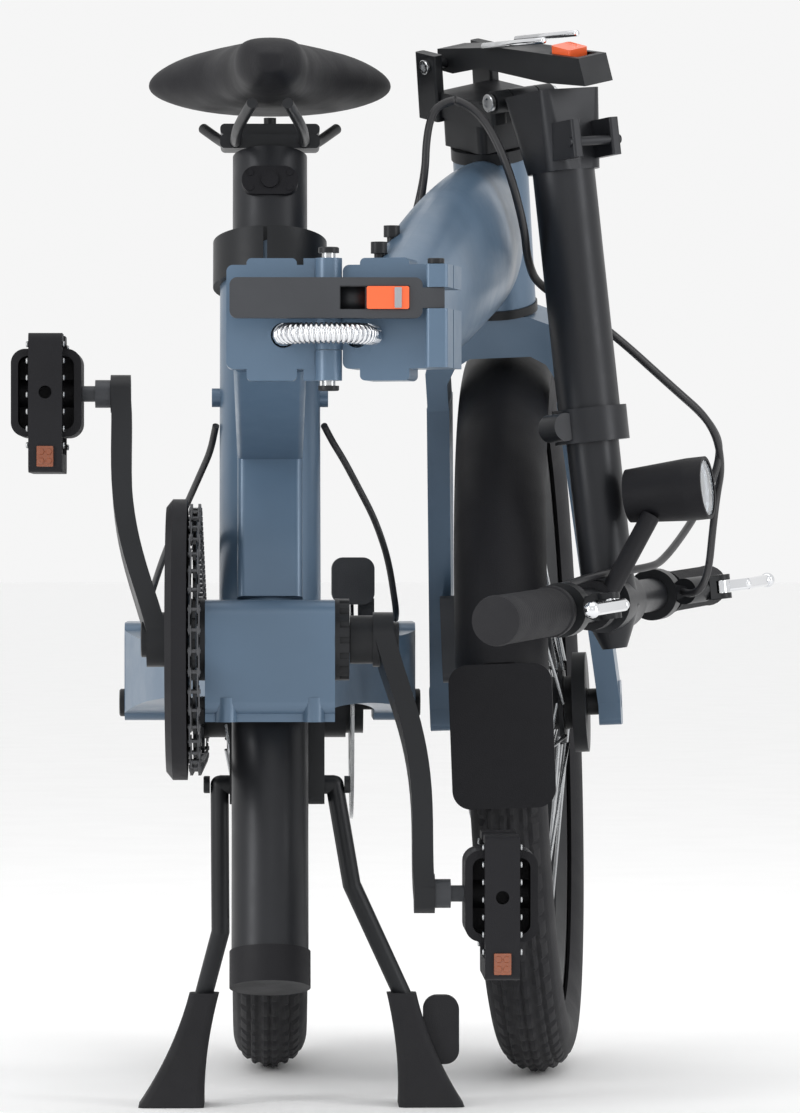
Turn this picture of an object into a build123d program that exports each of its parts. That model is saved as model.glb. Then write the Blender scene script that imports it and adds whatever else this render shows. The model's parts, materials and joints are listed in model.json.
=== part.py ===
from build123d import *
import os
from math import atan2, cos, degrees, radians, sin, tan

# Folding bicycle, shown folded. Lengths are millimetres, angles are degrees.
# Every piece is drawn where it sits on the bicycle ready to ride: X to the rider's left, -Y forward,
# +Z up, the floor at Z = 0 and the bottom bracket above Y = 0. The front half, the fork and the
# handlepost are then swung into the folded position that the model is stored in.

# Wheels
WHEEL_R = 250.0
TYRE_W = 50.0
TYRE_WALL = 3.5
RIM_R = 206.8
SPOKES = 28
REAR_AXLE_Y = 380.0
FRONT_AXLE_Y = -620.0
ROTOR_R = 80.0
AXLE_R = 5.0
FIT = 0.05

# Rear half
BB_Z = 299.5
BB_HALF = 40.0
SEAT_LEAN = 15.4
SEAT_Y = 54.0
SEAT_TUBE_R = 32.0
SEAT_TUBE_TOP = 545.0
SEAT_TUBE_FOOT = 262.0
POST_R = 24.0
POST_TOP = 608.0
POST_FOOT = 92.0
DROPOUT_IN = 70.0
DROPOUT_OUT = 98.0

# Crankset and pedals
CRANK_L = 165.0
CRANK_TILT = 21.2
CRANK_OUT = 100.5
RING_X = -46.0
RING_R = 80.5
GUARD_R = 87.0
SPROCKET_R = 36.5
PEDAL_X = 140.0
PEDAL_REACH = 50.0

# Frame hinge
HINGE_Y = -130.0
HINGE_Z = 494.0
PIN_X = 35.0
PIN_R = 4.0
KNUCKLE_R = 8.0
HINGE_GAP = 0.3
FRAME_FOLD = 167.0
LATCH_X = -33.0
LATCH_Y = -116.0
LATCH_TURN = 77.0

# Head tube, fork and handlepost
HEAD_ANGLE = 72.0
HEAD_Y = -463.0
HEAD_Z = 612.0
HEAD_L = 98.0
HEAD_R = 24.5
FORK_IN = 50.0
FORK_OUT = 65.0
STEER_TURN = 7.15
BASE_H = 45.0
POST_PIN_OFFSET = 38.0
POST_FOLD = 164.2
HANDLEPOST_R = 20.0
INNER_POST_R = 16.9
BAR_S = 374.0
BAR_HALF = 272.0
BAR_R = 11.0
GRIP_R = 14.5

# Kickstand
STAND_Y = 85.0
STAND_Z = 206.0
FOOT_Y = 112.0

# Plan position of the stored origin, at the centre of the folded bicycle's floor space
FLOOR_CENTRE = (90.3, 232.0)

SEAT_DIR = Vector(0, sin(radians(SEAT_LEAN)), cos(radians(SEAT_LEAN)))
STEER_DIR = Vector(0, cos(radians(HEAD_ANGLE)), sin(radians(HEAD_ANGLE)))
FORWARD = Vector(0, -sin(radians(HEAD_ANGLE)), cos(radians(HEAD_ANGLE)))
HEAD_TOP = Vector(0, HEAD_Y, HEAD_Z)
POST_AXIS_DIR = Vector(-0.771, -0.623, 0.13).normalized()
POST_SIDE = POST_AXIS_DIR.cross(STEER_DIR).normalized()
PARTS = {}


def seat_point(z, forward=0.0):
    """A point at height z on the seat tube's axis, or in front of it."""
    return Vector(0, SEAT_Y + (z - BB_Z) * tan(radians(SEAT_LEAN)) - forward, z)


def steer_point(s, x=0.0, ahead=0.0):
    """A point s above the head tube's top along the steering axis, x to the side and ahead of it."""
    return HEAD_TOP + STEER_DIR * s + Vector(x, 0, 0) + FORWARD * ahead


POST_PIN = steer_point(BASE_H) + POST_SIDE * POST_PIN_OFFSET
FRAME_PIN = Vector(PIN_X, HINGE_Y, HINGE_Z)


def stay(shape):
    return shape


def fold_front(shape):
    return shape.rotate(Axis(FRAME_PIN, (0, 0, 1)), FRAME_FOLD)


def fold_latch(shape):
    return fold_front(shape.rotate(Axis((LATCH_X, LATCH_Y, 0), (0, 0, 1)), -LATCH_TURN))


def turn_fork(shape):
    return fold_front(shape.rotate(Axis(HEAD_TOP, STEER_DIR), STEER_TURN))


def fold_post(shape):
    return turn_fork(shape.rotate(Axis(POST_PIN, POST_AXIS_DIR), POST_FOLD))


def keep(name, shape, place=stay):
    """Store a node's solids in the folded position."""
    solids = shape if isinstance(shape, (list, ShapeList)) else [shape]
    moved = Compound(children=[place(solid) for part in solids for solid in part.solids()])
    PARTS[name] = moved.moved(Location((-FLOOR_CENTRE[0], -FLOOR_CENTRE[1], 0)))


def rod(start, end, radius, far_radius=None):
    """A round bar between two points, tapered when a second radius is given."""
    run = Vector(end) - Vector(start)
    plane = Plane(origin=start, z_dir=run)
    if far_radius is None:
        return extrude(plane * Circle(radius), run.length)
    return loft([plane * Circle(radius), plane.offset(run.length) * Circle(far_radius)])


def pipe(start, end, radius, bore):
    return rod(start, end, radius) - rod(start, end, bore)


def block(low, high, round_edges=0.0, axis=None):
    """A box between two corners, with the edges along one axis rounded."""
    size = [b - a for a, b in zip(low, high)]
    middle = [(a + b) / 2 for a, b in zip(low, high)]
    shape = Pos(*middle) * Box(*size)
    if round_edges:
        edges = shape.edges() if axis is None else shape.edges().filter_by(axis)
        shape = fillet(edges, round_edges)
    return shape


def disc(x, thick, radius, y=0.0, z=0.0):
    """A disc across the bicycle, between x and x + thick."""
    return rod((x, y, z), (x + thick, y, z), radius)


def ringed(x, thick, radius, bore, y=0.0, z=0.0):
    return disc(x, thick, radius, y, z) - disc(x - 1, thick + 2, bore, y, z)


def wire(points, radii, radius):
    """A round cord along straight runs joined by tangent arcs."""
    path = FilletPolyline(*points, radius=radii)
    return sweep(Plane(origin=path @ 0, z_dir=path % 0) * Circle(radius), path=path)


def easy_radii(points, share=0.45):
    """The largest arc that each corner of a route leaves room for."""
    found = []
    for a, b, c in zip(points, points[1:], points[2:]):
        before = Vector(b) - Vector(a)
        after = Vector(c) - Vector(b)
        turn = radians(before.get_angle(after))
        found.append(share * min(before.length, after.length) / tan(turn / 2))
    return found


def mirrored(shape):
    return mirror(shape, about=Plane.YZ)


# ---------------------------------------------------------------- wheels
def spun(outline):
    """Turn an outline, given as (x, radius) points, around the wheel's axle."""
    face = make_face(Polyline(*[(x, 0, r) for x, r in outline], close=True))
    return revolve(face, axis=Axis.X)


def tyre():
    middle = WHEEL_R - TYRE_W / 2
    section = Plane.XZ * Pos(0, middle) * (Circle(TYRE_W / 2) - Circle(TYRE_W / 2 - TYRE_WALL))
    section -= Plane.XZ * Pos(0, RIM_R + 0.2 - 20) * Rectangle(TYRE_W, 40)
    return revolve(section, axis=Axis.X)


def rim():
    outer = [(-14.5, RIM_R), (-14.5, 197), (-8, 188), (8, 188), (14.5, 197), (14.5, RIM_R)]
    well = [(11.5, RIM_R), (11.5, 202), (-11.5, 202), (-11.5, RIM_R)]
    cavity = [(-11, 199), (-6.5, 191), (6.5, 191), (11, 199)]
    return spun(outer + well) - spun(cavity)


def spokes(flange_x, flange_r):
    """Crossed spokes from both flanges to the rim."""
    found = []
    for n in range(SPOKES):
        side = 1 if n % 2 else -1
        lead = 1 if n % 4 < 2 else -1
        rim_turn = radians(360.0 * n / SPOKES)
        hub_turn = rim_turn + lead * radians(38)
        x = side * (flange_x + lead * 2.2)
        start = (x, flange_r * sin(hub_turn), flange_r * cos(hub_turn))
        end = (side * (3 + lead), 187.7 * sin(rim_turn), 187.7 * cos(rim_turn))
        found.append(rod(start, end, 1.2))
    return found


def hub(radius, flange_x, flange_r, half):
    body = disc(-half, 2 * half, radius)
    for side in (-1, 1):
        body += disc(side * flange_x - 1.6, 3.2, flange_r)
    return body - disc(-half - 1, 2 * half + 2, AXLE_R + FIT)


def rotor(x):
    """A brake disc with a ring of openings between its track and its carrier."""
    shape = ringed(x - 1, 2, ROTOR_R, 21.5)
    for n in range(6):
        turn = radians(60 * n + 12)
        shape -= disc(x - 2, 4, 15, 44 * cos(turn), 44 * sin(turn))
    for n in range(18):
        turn = radians(20 * n)
        shape -= disc(x - 2, 4, 3, 71 * cos(turn), 71 * sin(turn))
    return shape


def place_wheel(y):
    return Location((0, y, WHEEL_R))


def wheels():
    rear = place_wheel(REAR_AXLE_Y)
    front = place_wheel(FRONT_AXLE_Y)
    keep("rear_tyre", rear * tyre())
    keep("rear_rim", rear * rim())
    keep("rear_spokes", [rear * spoke for spoke in spokes(28, 33)])
    rear_hub = hub(24, 28, 32, 64) - ringed(52, 20, 40, 21) - ringed(-70, 24.5, 60, 20)
    keep("rear_hub", [rear * rear_hub, rear * sprocket(18, SPROCKET_R, RING_X)])
    keep("rear_rotor", rear * rotor(56))
    axle = rod((-DROPOUT_OUT + 4, 0, 0), (DROPOUT_OUT - 4, 0, 0), AXLE_R)
    keep("rear_axle", rear * axle)
    keep("front_tyre", front * tyre(), turn_fork)
    keep("front_rim", front * rim(), turn_fork)
    keep("front_spokes", [front * spoke for spoke in spokes(25, 28.5)], turn_fork)
    front_hub = hub(18, 25, 27.5, 42) + ringed(-42, 9, 34, AXLE_R + FIT)
    front_hub -= ringed(36, 10, 40, 21)
    keep("front_hub", front * front_hub, turn_fork)
    keep("front_rotor", front * rotor(38), turn_fork)
    spacers = [pipe((side * 42.3, 0, 0), (side * (FORK_IN - 0.1), 0, 0), 9, AXLE_R) for side in (-1, 1)]
    axle = rod((-FORK_OUT + 1, 0, 0), (FORK_OUT - 1, 0, 0), AXLE_R)
    keep("front_axle", [front * (axle + spacers[0] + spacers[1])], turn_fork)


# ---------------------------------------------------------------- drive
def sprocket(teeth, radius, x):
    """A toothed wheel 2 mm thick, with its carrier."""
    shape = ringed(x - 1, 2, radius - 3, 20.2)
    for n in range(teeth):
        turn = 360.0 * n / teeth
        tooth = Pos(x, 0, radius - 2) * Box(2, 5.5, 6)
        shape += tooth.rotate(Axis.X, turn)
    return shape


def chain():
    """Two rows of side plates, as closed bands around the chainring and the rear sprocket."""
    distance = Vector(0, REAR_AXLE_Y, WHEEL_R - BB_Z)
    slope = degrees(atan2(distance.Z, distance.Y))
    lift = degrees(atan2(RING_R - SPROCKET_R, distance.length))

    def outline(margin):
        corners = []
        for centre, radius in ((Vector(0, 0, BB_Z), RING_R), (Vector(0, REAR_AXLE_Y, WHEEL_R), SPROCKET_R)):
            for side in (1, -1):
                turn = radians(slope + side * (90 - lift))
                reach = Vector(0, cos(turn), sin(turn)) * (radius + margin)
                corners.append(centre + reach)
        big_top, big_foot, small_top, small_foot = corners
        ring_front = Vector(0, -(RING_R + margin) * cos(radians(slope)), BB_Z - (RING_R + margin) * sin(radians(slope)))
        small_r = SPROCKET_R + margin
        small_back = Vector(0, REAR_AXLE_Y + small_r * cos(radians(slope)), WHEEL_R + small_r * sin(radians(slope)))
        edges = [
            ThreePointArc(big_foot, ring_front, big_top),
            Line(big_top, small_top),
            ThreePointArc(small_top, small_back, small_foot),
            Line(small_foot, big_foot),
        ]
        return make_face(Wire(edges))

    band = outline(4.0) - outline(-4.0)
    return [extrude(Pos(RING_X + side * 2.6, 0, 0) * band, 0.6, dir=(1, 0, 0), both=True) for side in (-1, 1)]


def cups():
    """Notched threaded cups that close the bottom bracket shell."""
    cup = ringed(BB_HALF, 9, 25.4, 8.5 + FIT)
    for n in range(16):
        turn = radians(22.5 * n)
        cup -= Pos(BB_HALF + 6.5, 25.4 * cos(turn), 25.4 * sin(turn)) * Box(7, 4, 4)
    cup = Pos(0, 0, BB_Z) * cup
    return [cup, mirrored(cup)]


def crank_arm(side, direction):
    """One arm: it leaves its boss close to the frame and bows outwards to the pedal."""
    heights = (0, 32, 66, 110, CRANK_L)
    places = (70, 79, 88, 93, 94)
    widths = (34, 29, 26, 24, 24)
    sections = []
    for height, x, width in zip(heights, places, widths):
        sections.append(Plane(origin=(side * x, 0, direction * height), z_dir=(0, 0, 1)) * Rectangle(12.6, width))
    arm = loft(sections)
    arm += rod((side * 63.7, 0, 0), (side * 76.3, 0, 0), 17)
    arm += rod((side * 87.7, 0, direction * CRANK_L), (side * 100.3, 0, direction * CRANK_L), 12)
    return arm


def crankset():
    place = Location((0, 0, BB_Z), (-CRANK_TILT, 0, 0))
    right = crank_arm(-1, 1) + rod((-64, 0, 0), (-49.6, 0, 0), 15)
    for n in range(5):
        arm = Pos(-51.0, 0, 35) * Box(3.4, 15, 42.6)
        right += arm.rotate(Axis.X, 72 * n)
    left = crank_arm(1, -1) + rod((49.6, 0, 0), (64, 0, 0), 15)
    spindle_hole = rod((-72, 0, 0), (72, 0, 0), 8.5)
    keep("cranks", [place * (right - spindle_hole), place * (left - spindle_hole)])
    spindles = [rod((-71.5, 0, 0), (71.5, 0, 0), 8.5)]
    for side in (-1, 1):
        z = -side * CRANK_L
        spindle = rod((side * CRANK_OUT, 0, z), (side * 110, 0, z), 8.8)
        spindles.append(spindle + rod((side * 110, 0, z), (side * 152, 0, z), 5))
    keep("crank_spindles", [place * spindle for spindle in spindles])
    ring = sprocket(40, RING_R, RING_X) - disc(RING_X - 2, 4, 57.2)
    keep("chainring", place * ring)
    profile = [(-64, 57.2), (-64, 82), (-60, GUARD_R), (-51, GUARD_R), (-49.4, 57.2)]
    keep("chain_guard", place * spun(profile))
    for side, name in ((-1, "right"), (1, "left")):
        spot = Vector(side * PEDAL_X, 0, -side * CRANK_L).rotate(Axis.X, -CRANK_TILT) + Vector(0, 0, BB_Z)
        keep("pedal_housing_" + name, Pos(*spot) * pedal_housing())
        keep("pedal_platform_" + name, Pos(*spot) * pedal_platform())


def pedal_housing():
    """The barrel cage that turns on the spindle, open to the front and the back."""
    outer = Plane.XZ * RectangleRounded(44, 55, 9)
    inner = Plane.XZ * RectangleRounded(35, 46, 6)
    cage = extrude(outer, 27, both=True) - extrude(inner, 28, both=True)
    cage += rod((-19, 0, 0), (19, 0, 0), 10)
    cage -= rod((-23, 0, 0), (23, 0, 0), 5 + FIT)
    pins = rod((0, 26, 0), (0, 30.5, 0), 4) + rod((0, -30.5, 0), (0, -26, 0), 4)
    blocks = [Pos(0, y, 0) * Box(12, 6, 50) for y in (-24, 24)]
    cage += blocks[0] + blocks[1] + pins + Box(36, 10, 47)
    return cage - rod((-23, 0, 0), (23, 0, 0), 5 + FIT)


def pedal_platform():
    """The tread: an upright frame when folded, open at its top for the spindle."""
    top = 37.0
    half_y = 42.0
    frame = block((-10.5, -half_y, -PEDAL_REACH), (10.5, half_y, top), 5, Axis.X)
    frame -= block((-12, -31.2, -38), (12, 31.2, 32))
    frame -= block((-12, -12, 30), (12, 12, 50))
    frame -= rod((0, -60, 0), (0, 60, 0), 4 + FIT)
    return frame


# ---------------------------------------------------------------- rear frame
def seat_tube():
    """Seat tube with a raised spine, the short main tube ahead of it and the rear half of the hinge."""
    foot = seat_point(SEAT_TUBE_FOOT)
    top = seat_point(SEAT_TUBE_TOP)
    tube = rod(foot, top, SEAT_TUBE_R)
    spine_low = seat_point(BB_Z + 24, SEAT_TUBE_R - 6)
    spine_top = seat_point(HINGE_Z, SEAT_TUBE_R - 6)
    run = spine_top - spine_low
    tube += extrude(Plane(origin=spine_low, x_dir=(1, 0, 0), z_dir=run) * RectangleRounded(41, 22, 5), run.length)
    for side in (-1, 1):
        boss = seat_point(452, 0) + Vector(side * 28, 0, 0)
        tube += rod(boss, boss + Vector(side * 9, 0, 0), 6)
    stub = loft([
        Plane(origin=(0, HINGE_Y + 24, HINGE_Z), x_dir=(1, 0, 0), z_dir=(0, 1, 0)) * Ellipse(25.5, 31),
        Plane(origin=(0, 60, HINGE_Z - 6), x_dir=(1, 0, 0), z_dir=(0, 1, 0)) * Ellipse(27.5, 36),
    ])
    root = Plane(origin=(0, 60, HINGE_Z - 6), x_dir=(1, 0, 0), z_dir=(0, 1, 0)) * Ellipse(27.5, 36)
    tube += stub + extrude(root, 40)
    gusset = loft([
        Plane(origin=(0, HINGE_Y + 30, HINGE_Z - 22), x_dir=(1, 0, 0), z_dir=(0, 1, 0)) * RectangleRounded(44, 20, 4),
        Plane(origin=(0, 72, HINGE_Z - 60), x_dir=(1, 0, 0), z_dir=(0, 1, 0)) * RectangleRounded(41, 60, 4),
    ])
    tube += gusset
    tube += hinge_half(1)
    tube -= rod(seat_point(SEAT_TUBE_FOOT - 20), seat_point(SEAT_TUBE_TOP + 20), POST_R + FIT)
    tube -= rod((PIN_X, HINGE_Y, HINGE_Z - 60), (PIN_X, HINGE_Y, HINGE_Z + 60), PIN_R + FIT)
    for side in (-1, 1):
        boss = seat_point(452, 0) + Vector(side * 24.2, 0, 0)
        tube -= rod(boss + Vector(side * 6, 0, 0), boss + Vector(side * 14, 0, 0), 2.5)
    tube -= conduit_bore(1)
    return tube


def hinge_half(side):
    """One cast half of the frame hinge: +1 on the rear half, -1 on the front half."""
    face = HINGE_Y + side * 0.2
    back = HINGE_Y + side * 26
    low, high = sorted((face, back))
    lug = block((-26, low, HINGE_Z - 31), (26.5, high, HINGE_Z + 31), 4, Axis.Y)
    lug += block((-14, low, HINGE_Z - 38), (16, high, HINGE_Z + 35), 3, Axis.Y)
    spans = ((-38, -20), (20, 35)) if side > 0 else ((-19.7, 19.7),)
    for bottom, top in spans:
        knuckle = rod((PIN_X, HINGE_Y, HINGE_Z + bottom), (PIN_X, HINGE_Y, HINGE_Z + top), KNUCKLE_R)
        web_low, web_high = sorted((HINGE_Y + side * 0.6, HINGE_Y + side * 7.5))
        web = block((20, web_low, HINGE_Z + bottom), (PIN_X, web_high, HINGE_Z + top))
        lug += knuckle + web
    return lug


def conduit_bore(side):
    """The mouth that the cable conduit enters, in the face of a hinge half."""
    x = PIN_X - 27 if side > 0 else PIN_X - 17
    z = HINGE_Z - 11
    return rod((x, HINGE_Y - side, z), (x, HINGE_Y + side * 18, z), 7.5)


def bottom_bracket():
    shell = block((-BB_HALF, -25, 253), (BB_HALF, 34, 324), 9, Axis.X)
    shell += block((-BB_HALF, -20, 249), (BB_HALF, 30, 256))
    for x in (-27, 27):
        shell += rod((x, -19, 249), (x, -19, 264), 7)
    shell -= rod(seat_point(200), seat_point(400), SEAT_TUBE_R + 0.05)
    return shell - rod((-60, 0, BB_Z), (60, 0, BB_Z), 17.5)


def chainstay(side):
    """A deep stay that flares around the wheel and ends in a wide dropout plate."""
    stations = ((34, 30, 14, 62), (88, 31, 14, 52), (150, 47, 16, 44), (235, 74, 20, 46), (300, 84, 28, 56))
    if side < 0:
        stations = ((34, 28, 12, 50), (88, 29, 10, 36), (150, 45, 14, 34), (235, 72, 18, 40), (300, 84, 28, 56))
    sections = []
    for y, x, thick, tall in stations:
        sections.append(Plane(origin=(side * x, y, 282 - y * 0.03), x_dir=(1, 0, 0), z_dir=(0, 1, 0)) * Rectangle(thick, tall))
    stay_solid = loft(sections)
    low, high = sorted((side * DROPOUT_IN, side * DROPOUT_OUT))
    plate = block((low, 299, 240), (high, 398, 306), 10, Axis.X)
    stay_solid += plate
    stay_solid -= rod((low - 1, REAR_AXLE_Y, WHEEL_R), (high + 1, REAR_AXLE_Y, WHEEL_R), AXLE_R + FIT)
    return stay_solid - rod(seat_point(200), seat_point(400), SEAT_TUBE_R + 0.05)


def seat_clamp():
    """Split collar on top of the seat tube, with its cross bolt behind."""
    low = seat_point(523)
    top = seat_point(552)
    collar = pipe(low, top, 36.5, SEAT_TUBE_R + 0.1)
    lip = pipe(seat_point(546), top, 36.5, POST_R + 0.2)
    collar += lip
    ears = seat_point(537, -40)
    collar += Pos(*ears) * Box(26, 18, 22)
    collar -= pipe(low, seat_point(545.3), SEAT_TUBE_R + 0.1, POST_R)
    collar -= rod(seat_point(500), seat_point(570), POST_R + 0.2)
    collar -= Pos(*seat_point(537, -42)) * Box(3, 40, 60)
    collar -= Pos(*seat_point(537, 36)) * Pos(-3, 0, 0) * Box(2.4, 14, 60)
    bolt_at = seat_point(537, -43)
    collar -= rod(bolt_at - Vector(20, 0, 0), bolt_at + Vector(20, 0, 0), 3.1)
    bolt = rod(bolt_at - Vector(17, 0, 0), bolt_at + Vector(13.4, 0, 0), 3)
    bolt += rod(bolt_at + Vector(13.1, 0, 0), bolt_at + Vector(18, 0, 0), 5.5)
    return [collar, bolt]


def rear_caliper():
    body = block((42, 322, 318), (71, 362, 350), 8, Axis.Y)
    body -= rod((53.5, REAR_AXLE_Y, WHEEL_R), (58.5, REAR_AXLE_Y, WHEEL_R), ROTOR_R + 2)
    body += block((60, 336, 306.2), (71, 352, 322))
    return body


def kickstand():
    cheeks = []
    for x in (-18, 27):
        cheek = block((x - 7.5, STAND_Y - 16, STAND_Z - 12), (x + 7.5, STAND_Y + 10, 266), 5, Axis.X)
        cheeks.append(cheek)
    bridge = block((-25, STAND_Y - 16, 228), (34, STAND_Y + 10, 240))
    bracket = cheeks[0] + cheeks[1] + bridge
    bracket -= rod((-60, STAND_Y, STAND_Z), (60, STAND_Y, STAND_Z), 6 + FIT)
    stay_space = [chainstay(-1), chainstay(1)]
    for solid in stay_space:
        bracket -= solid
    keep("stand_bracket", bracket - seatpost_space())
    legs = rod((-32, STAND_Y, STAND_Z), (41, STAND_Y, STAND_Z), 6)
    right = [(41, STAND_Y, STAND_Z), (52, STAND_Y + 8, 142), (84, FOOT_Y - 4, 72), (92, FOOT_Y - 2, 52)]
    left = [(-32, STAND_Y, STAND_Z), (-31.5, STAND_Y + 8, 112), (-42, FOOT_Y - 4, 72), (-48, FOOT_Y - 2, 52)]
    for route in (right, left):
        for a, b in zip(route, route[1:]):
            legs += rod(a, b, 5.8)
            legs += Pos(*b) * Sphere(5.8)
        legs += Pos(*route[0]) * Sphere(5.8)
    keep("stand_legs", legs)
    keep("stand_feet", [stand_foot(1), stand_foot(-1)])


def seatpost_space():
    return rod(seat_point(60), seat_point(320), SEAT_TUBE_R + 0.3)


def stand_foot(side):
    """A rubber boot that widens to the floor; the left-hand one has a tab to kick."""
    x_top, x_foot = (84, 103) if side > 0 else (-42, -63)
    top = Plane(origin=(x_top, FOOT_Y - 4, 72), z_dir=(0, 0, 1)) * RectangleRounded(19, 19, 5)
    middle = Plane(origin=((x_top + x_foot) / 2, FOOT_Y, 34), z_dir=(0, 0, 1)) * RectangleRounded(25, 26, 5)
    foot = Plane(origin=(x_foot, FOOT_Y, 0), z_dir=(0, 0, 1)) * RectangleRounded(42, 44, 5)
    boot = loft([foot, middle, top])
    if side > 0:
        tab = block((98, FOOT_Y - 5, 26), (121, FOOT_Y + 5, 70), 9, Axis.Y)
        boot += tab
        ends = ((84, FOOT_Y - 4, 72), (92, FOOT_Y - 2, 52), (52, STAND_Y + 8, 142))
    else:
        ends = ((-42, FOOT_Y - 4, 72), (-48, FOOT_Y - 2, 52), (-31.5, STAND_Y + 8, 112))
    hole = rod(ends[0], ends[1], 5.9) + rod(ends[2], ends[0], 5.9) + Pos(*ends[0]) * Sphere(5.9)
    return boot - hole - Pos(*ends[1]) * Sphere(5.9)


def rear_frame():
    keep("seat_tube", seat_tube())
    keep("bottom_bracket_shell", bottom_bracket())
    keep("chainstays", [chainstay(-1) - bottom_bracket(), chainstay(1) - bottom_bracket()])
    keep("seat_clamp", seat_clamp())
    keep("frame_hinge_pin", rod((PIN_X, HINGE_Y, HINGE_Z - 41), (PIN_X, HINGE_Y, HINGE_Z + 38), PIN_R))
    keep("rear_caliper", rear_caliper())
    keep("bracket_cups", cups())
    keep("chain", chain())


# ---------------------------------------------------------------- seatpost and saddle
def saddle():
    stations = ((-6, 8, 662, 6), (2, 20, 660, 14), (26, 26, 659, 17), (90, 32, 661, 19), (142, 47, 665, 20),
                (186, 74, 668, 20.5), (222, 88, 668, 20.5), (250, 83, 668, 17), (264, 56, 666, 9))
    sections = [Plane(origin=(0, y, z), x_dir=(1, 0, 0), z_dir=(0, 1, 0)) * Ellipse(w, h) for y, w, z, h in stations]
    pad = loft(sections) - block((-120, -40, 600), (120, 300, 647))
    under = [Plane(origin=(0, y, 651), x_dir=(1, 0, 0), z_dir=(0, 1, 0)) * Ellipse(w * 0.93, h + 2)
             for y, w, z, h in stations[1:-1]]
    shell = loft(under) & block((-120, -40, 638), (120, 300, 646.8))
    keep("saddle_pad", pad)
    rails = []
    for side in (-1, 1):
        route = [(side * 11, 12, 633), (side * 20, 60, 622), (side * 22, 105, 617), (side * 22, 175, 617),
                 (side * 30, 206, 622), (side * 44, 236, 634)]
        rail = wire(route, easy_radii(route), 3.5)
        rails.append(rail)
    keep("saddle_shell", shell)
    cradle = block((-32, 122, 613), (32, 166, 622), 3, Axis.Y)
    cradle += block((-14, 126, 606), (14, 162, 614))
    upper = block((-32, 126, 622.2), (32, 162, 629), 3, Axis.Y)
    for side in (-1, 1):
        groove = rod((side * 22, 60, 617), (side * 22, 220, 617), 3.6)
        cradle -= groove
        upper -= groove
    cradle -= rod(seat_point(580), seat_point(POST_TOP), POST_R + 0.2)
    bolt = rod((0, 144, 598), (0, 144, 634), 4)
    keep("saddle_clamp", [cradle - bolt, upper - bolt, bolt - block((-30, 100, 580), (30, 200, 612.5))] + rails)


def seatpost():
    foot = seat_point(POST_FOOT)
    top = seat_point(POST_TOP)
    post = rod(foot, top, POST_R)
    post -= rod(seat_point(POST_FOOT - 10), seat_point(POST_TOP - 12), POST_R - 3)
    keep("seatpost", post)
    cap = rod(seat_point(POST_FOOT - 8), seat_point(POST_FOOT + 14), POST_R + 1.2)
    cap -= pipe(foot - SEAT_DIR * 0.05, seat_point(POST_FOOT + 20), POST_R + 5, POST_R - 3.1)
    cap += pipe(seat_point(POST_FOOT - 2), seat_point(POST_FOOT + 14), POST_R + 1.2, POST_R + 0.05)
    middle = seat_point(590, POST_R - 4)
    outward = Vector(0, -cos(radians(SEAT_LEAN)), sin(radians(SEAT_LEAN)))
    face = Plane(origin=middle, x_dir=(1, 0, 0), z_dir=outward)
    cover = extrude(face * RectangleRounded(36, 19, 9), 6.5)
    cover += extrude(face * Circle(5.5), 8)
    screws = []
    for x in (-12.5, 12.5):
        for y in (-5, 5):
            hole = face * Pos(x, y) * Circle(2.3)
            cover -= extrude(hole, 9)
            screws.append(extrude(face.offset(0.2) * Pos(x, y) * Circle(2.2), 6.6))
    post_body = rod(foot, top, POST_R + 0.05)
    keep("seatpost_caps", [cap, cover - post_body] + [screw - post_body for screw in screws])


# ---------------------------------------------------------------- front half
def main_tube():
    """The front main tube, its hinge half and the head tube, cast in one."""
    stations = ((HINGE_Y - 24, 496, 26, 32), (HINGE_Y - 60, 503, 28, 38), (HINGE_Y - 110, 514, 30, 46),
                (HINGE_Y - 210, 538, 30, 52), (HINGE_Y - 300, 557, 27, 50), (HEAD_Y - 3, 562, 22, 46))
    sections = []
    for y, z, across, up in stations:
        sections.append(Plane(origin=(0, y, z), x_dir=(1, 0, 0), z_dir=(0, -1, 0)) * Ellipse(across, up))
    tube = loft(sections)
    tube += rod(steer_point(-HEAD_L), steer_point(0), HEAD_R)
    tube += hinge_half(-1)
    tube -= rod(steer_point(0.05), steer_point(12), HEAD_R + 1.3)
    ear_low = HINGE_Y - 24
    for low, high in ((-31, 3.7), (16.3, 30)):
        ear = block((LATCH_X - 8, ear_low, HINGE_Z + low), (-20, HINGE_Y - 0.2, HINGE_Z + high))
        ear += block((LATCH_X - 8, HINGE_Y - 1, HINGE_Z + low), (LATCH_X + 5.5, LATCH_Y + 6, HINGE_Z + high), 3, Axis.Z)
        tube += ear
    tube -= rod((PIN_X, HINGE_Y, HINGE_Z - 60), (PIN_X, HINGE_Y, HINGE_Z + 60), PIN_R + FIT)
    tube -= rod(steer_point(-HEAD_L - 5), steer_point(5), 17)
    tube -= rod((LATCH_X, LATCH_Y, HINGE_Z - 13), (LATCH_X, LATCH_Y, HINGE_Z + 40), 3 + FIT)
    tube -= conduit_bore(-1)
    for y, z in bolt_spots():
        tube -= rod((14, y, z - 18), (14, y, z + 40), 3)
        tube -= rod((14, y, z + 4.9), (14, y, z + 40), 5.1)
    return tube


def bolt_spots():
    """Where the two carrier bolts stand on top of the main tube."""
    return ((HINGE_Y - 46, 529), (HINGE_Y - 84, 541))


def carrier_bolts():
    found = []
    for y, z in bolt_spots():
        found.append(rod((14, y, z - 14), (14, y, z + 9), 2.95) + rod((14, y, z + 5), (14, y, z + 12), 5))
    return found


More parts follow.
